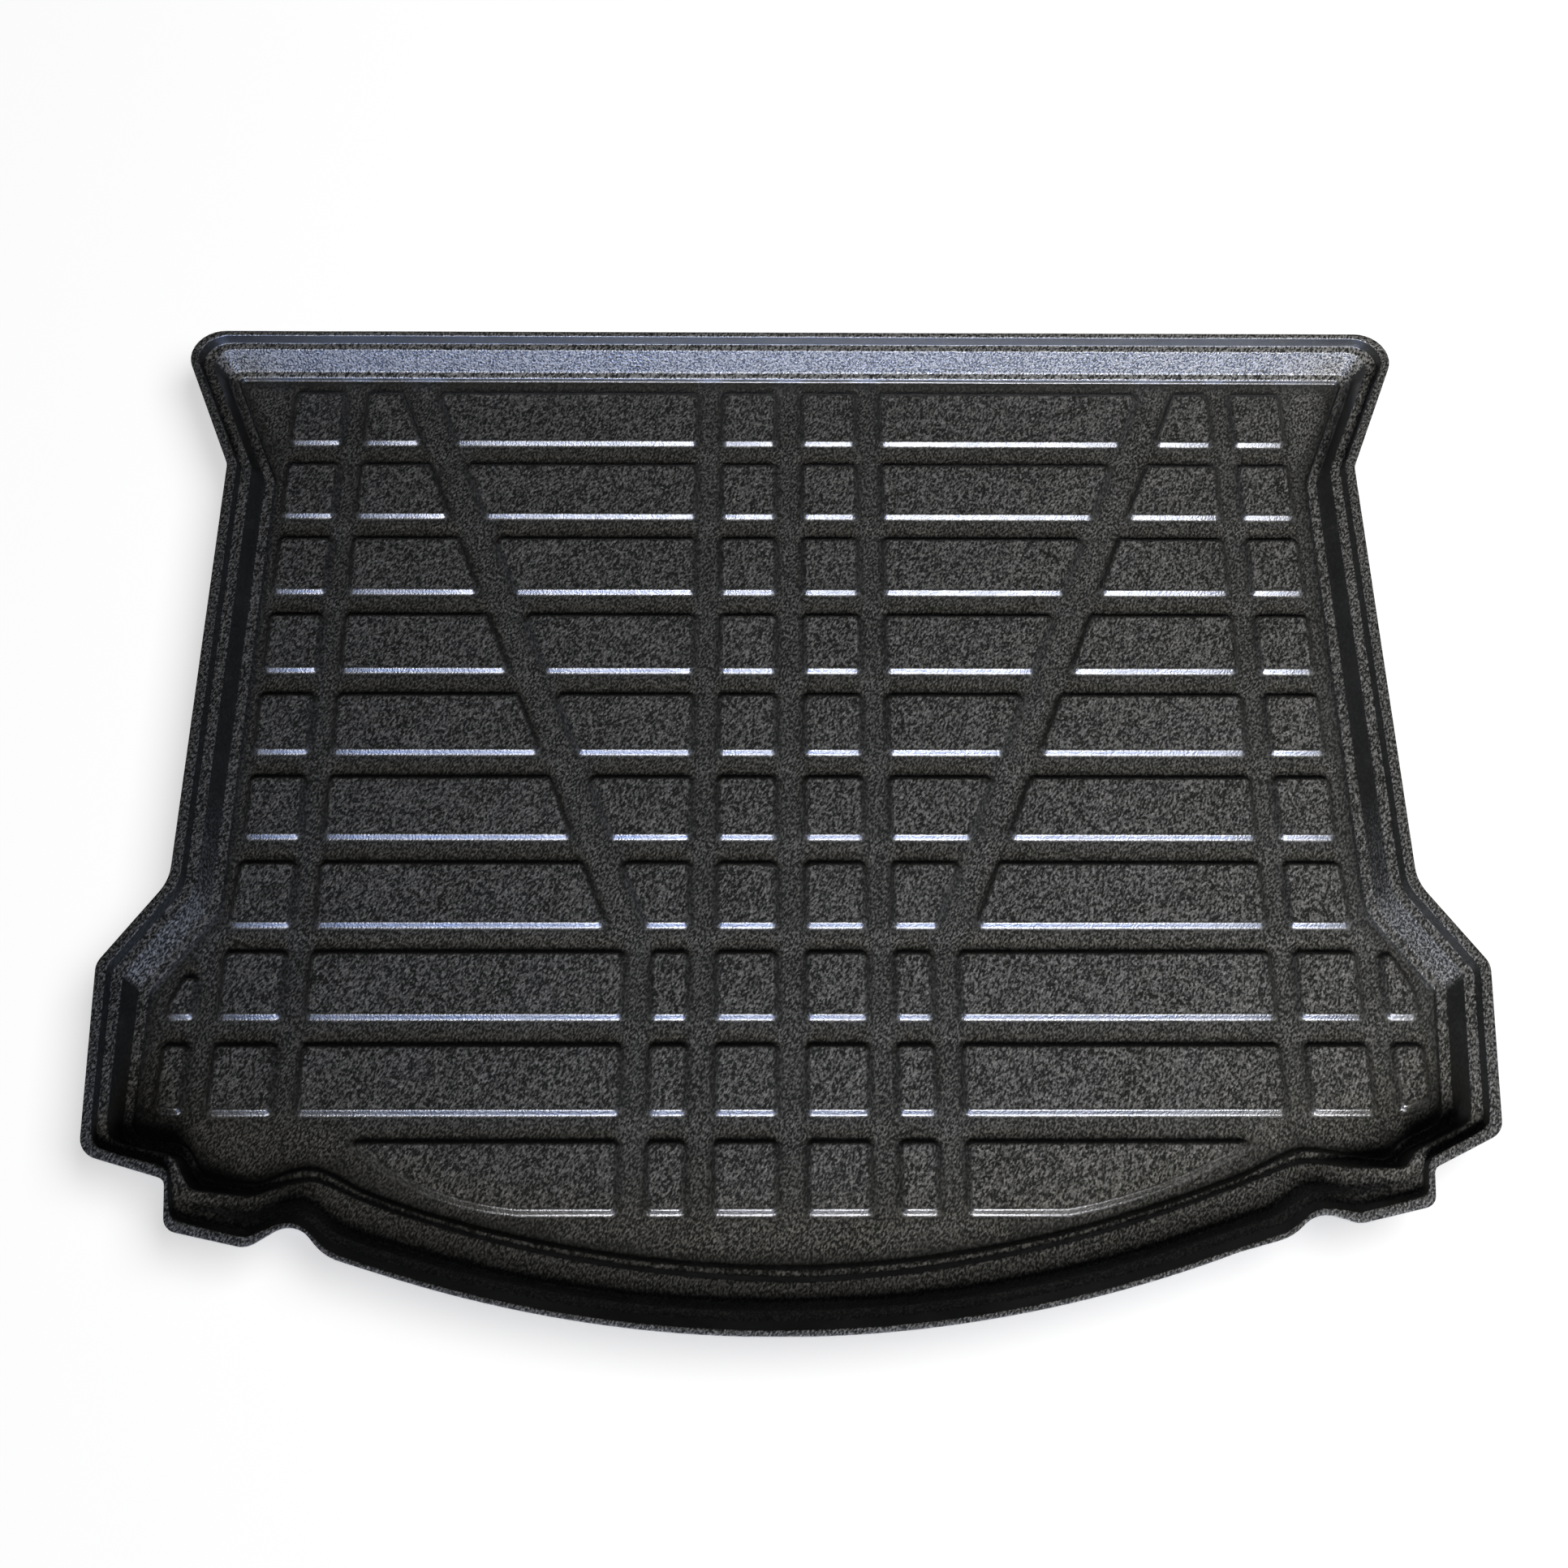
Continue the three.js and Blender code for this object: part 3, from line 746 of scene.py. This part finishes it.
def polyethyleneSheet():
    material, tree = newMaterial("thermoformedPolyethylene")
    onPiece = addNode(tree, "ShaderNodeTexCoord").outputs["Object"]
    laid = addNode(
        tree, "ShaderNodeMapping",
        {"vector_type": "TEXTURE", "Rotation": (0, 0, math.radians(polyethylene["grainLay"])),
         "Scale": polyethylene["grainStretch"]},
        {"Vector": onPiece},
    )
    place = laid.outputs["Vector"]
    perGrain = 1 / (polyethylene["grain"] * mm)
    cells = addNode(tree, "ShaderNodeTexVoronoi", {"Scale": perGrain}, {"Vector": place})
    broad = addNode(
        tree, "ShaderNodeTexNoise",
        {"Scale": 1 / (polyethylene["scuff"] * mm), "Detail": 4}, {"Vector": place},
    )
    specks = addNode(
        tree, "ShaderNodeTexNoise",
        {"Scale": 1 / (polyethylene["speck"] * mm), "Detail": 1, "Roughness": 0.6}, {"Vector": place},
    )
    rough = addNode(
        tree, "ShaderNodeMapRange",
        {"From Min": polyethylene["scuffRange"][0], "From Max": polyethylene["scuffRange"][1],
         "To Min": polyethylene["roughness"][0], "To Max": polyethylene["roughness"][1]},
        {"Value": broad.outputs["Fac"]},
    )
    glintTone = addNode(
        tree, "ShaderNodeMapRange",
        {"From Min": polyethylene["speckRange"][0], "From Max": polyethylene["speckRange"][1]},
        {"Value": specks.outputs["Fac"]},
    )
    # input 0 is how far the colour goes from 6, the grain's valleys, to 7, its lighter peaks, which are
    # painted glints; the per-vertex depth scales it, painting sheen where it is high and shade where it is
    # low
    colour = addNode(tree, "ShaderNodeMix", {"data_type": "RGBA"})
    colour.inputs[6].default_value = linear(polyethylene["valleyColour"])
    colour.inputs[7].default_value = linear(polyethylene["peakGlintColour"])
    depth = addNode(tree, "ShaderNodeAttribute", {"attribute_name": "grainAndPaintedLight"})
    # speck tone times the per-vertex depth: painted glints, a painted sheen on the far and hip walls,
    # painted shade on steep bands
    peaks = addNode(tree, "ShaderNodeMath", {"operation": "MULTIPLY"})
    tree.links.new(glintTone.outputs["Result"], peaks.inputs[0])
    tree.links.new(depth.outputs["Fac"], peaks.inputs[1])
    tree.links.new(peaks.outputs[0], colour.inputs[0])
    relief = addNode(tree, "ShaderNodeMath", {"operation": "ADD"})
    tree.links.new(specks.outputs["Fac"], relief.inputs[0])
    tree.links.new(cells.outputs["Distance"], relief.inputs[1])
    held = addNode(tree, "ShaderNodeMath", {"operation": "MINIMUM"})
    tree.links.new(depth.outputs["Fac"], held.inputs[0])
    held.inputs[1].default_value = polyethylene["deepest"]
    bump = addNode(
        tree, "ShaderNodeBump", {"Distance": polyethylene["grainHeight"] * mm},
        {"Height": relief.outputs[0], "Strength": held.outputs[0]},
    )
    shader = addNode(
        tree, "ShaderNodeBsdfPrincipled",
        {"IOR": polyethylene["ior"], "Specular IOR Level": polyethylene["specular"]},
        {"Base Color": colour.outputs[2], "Roughness": rough.outputs["Result"],
         "Normal": bump.outputs["Normal"]},
    )
    addNode(tree, "ShaderNodeOutputMaterial", {}, {"Surface": shader.outputs["BSDF"]})
    return material


liner.data.materials.append(polyethyleneSheet())
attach(liner, "root")
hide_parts("boot_liner")
print("material: thermoformed polyethylene")

# Studio: pale sweep, soft boxes and the camera
studio = {
    "floorColour": "#d0d0d0",
    "floorHalf": 9,  # metres
    "floorBelow": 0.0005,  # metres, just clear of the underside
    "floorGlow": 0.62,
    "worldColour": "#e8ecf4",
    "worldLight": 0.02,
    "cameraPlace": (-26.8, -831.8, 1662.2),  # mm; the angles are degrees
    "pitch": 63,
    "yaw": -1.271,
    "roll": 1.198,
    "sensorWidth": 36,
    "focalShare": 2717 / 1932,  # of the sensor's width, as pixels of the photo
    "farthestSeen": 100,
}


def studioFloor():
    half = studio["floorHalf"]
    flat = bpy.data.meshes.new("studioFloor")
    corners = [(-half, -half, 0), (half, -half, 0), (half, half, 0), (-half, half, 0)]
    flat.from_pydata(corners, [], [(0, 1, 2, 3)])
    ground = bpy.data.objects.new("studioFloor", flat)
    bpy.context.scene.collection.objects.link(ground)
    material, tree = newMaterial("paperSweep")
    matte = addNode(tree, "ShaderNodeBsdfDiffuse", {"Color": linear(studio["floorColour"])})
    path = addNode(tree, "ShaderNodeLightPath")
    seen = addNode(tree, "ShaderNodeMath", {"operation": "MAXIMUM"})
    tree.links.new(path.outputs["Is Camera Ray"], seen.inputs[0])
    tree.links.new(path.outputs["Is Glossy Ray"], seen.inputs[1])
    seenThrough = addNode(tree, "ShaderNodeMath", {"operation": "MAXIMUM"})
    tree.links.new(seen.outputs[0], seenThrough.inputs[0])
    tree.links.new(path.outputs["Is Transmission Ray"], seenThrough.inputs[1])
    glow = addNode(tree, "ShaderNodeMath", {"operation": "MULTIPLY"})
    glow.inputs[1].default_value = studio["floorGlow"]
    tree.links.new(seenThrough.outputs[0], glow.inputs[0])
    light = addNode(tree, "ShaderNodeEmission", {}, {"Strength": glow.outputs[0]})
    both = addNode(tree, "ShaderNodeAddShader")
    tree.links.new(matte.outputs[0], both.inputs[0])
    tree.links.new(light.outputs[0], both.inputs[1])
    addNode(tree, "ShaderNodeOutputMaterial", {}, {"Surface": both.outputs[0]})
    flat.materials.append(material)
    ground.location.z = -studio["floorBelow"]
    return ground


def litOnly(name, piece):
    # a collection that a lamp is linked to, so that it lights this piece alone
    group = bpy.data.collections.new(name)
    group.objects.link(piece)
    return group


def softBox(name, place, aim, size, power, colour, lit, spread=180):
    lamp = bpy.data.lights.new(name, "AREA")
    lamp.shape = "RECTANGLE"
    lamp.size, lamp.size_y = size
    lamp.energy = power
    lamp.color = linear(colour)[:3]
    lamp.spread = math.radians(spread)
    box = bpy.data.objects.new(name, lamp)
    box.location = place
    box.rotation_euler = (Vector(aim) - Vector(place)).to_track_quat("-Z", "Y").to_euler()
    bpy.context.scene.collection.objects.link(box)
    box.visible_camera = False
    box.light_linking.receiver_collection = lit


def studioWorld():
    # dim for the piece, white where the camera looks past the floor
    world = bpy.data.worlds.new("studioWorld")
    bpy.context.scene.world = world
    world.use_nodes = True
    tree = world.node_tree
    tree.nodes.clear()
    path = addNode(tree, "ShaderNodeLightPath")
    dim = addNode(
        tree, "ShaderNodeBackground",
        {"Color": linear(studio["worldColour"]), "Strength": studio["worldLight"]},
    )
    white = addNode(tree, "ShaderNodeBackground", {"Color": (1, 1, 1, 1), "Strength": 1})
    either = addNode(tree, "ShaderNodeMixShader", {}, {"Fac": path.outputs["Is Camera Ray"]})
    tree.links.new(dim.outputs[0], either.inputs[1])
    tree.links.new(white.outputs[0], either.inputs[2])
    addNode(tree, "ShaderNodeOutputWorld", {}, {"Surface": either.outputs[0]})


ground = studioFloor()
studioWorld()
linerLit = litOnly("linerLit", liner)
floorLit = litOnly("floorLit", ground)
# Each box's place, aim and size in metres, its watts, its colour, what it lights and its spread
softBox("nearWindow", (0.1, -2.6, 0.52), (0.25, 0, 0.1), (2.2, 0.9), 140, "#94b6ff", linerLit)
softBox("nearHigh", (0.55, -3.5, 2.2), (1.2, 0.15, 0), (1.9, 1.8), 106, "#fafaff", linerLit, 55)
softBox("floorKey", (3, 0.2, 5.2), (0, 0, 0), (6, 4.5), 330, "#ffffff", floorLit)

lens = bpy.data.cameras.new("studioCamera")
lens.sensor_width = studio["sensorWidth"]
lens.lens = studio["focalShare"] * studio["sensorWidth"]
lens.clip_end = studio["farthestSeen"]
camera = bpy.data.objects.new("studioCamera", lens)
turn = Matrix.Rotation(math.radians(studio["yaw"]), 3, "Z")
turn = turn @ Matrix.Rotation(math.radians(90 - studio["pitch"]), 3, "X")
turn = turn @ Matrix.Rotation(math.radians(studio["roll"]), 3, "Z")
camera.rotation_euler = turn.to_euler()
camera.location = Vector(studio["cameraPlace"]) * mm
bpy.context.scene.collection.objects.link(camera)
bpy.context.scene.camera = camera
bpy.context.scene.view_settings.view_transform = "Standard"
print("studio: floor, world, soft boxes and camera")

bpy.context.view_layer.update()
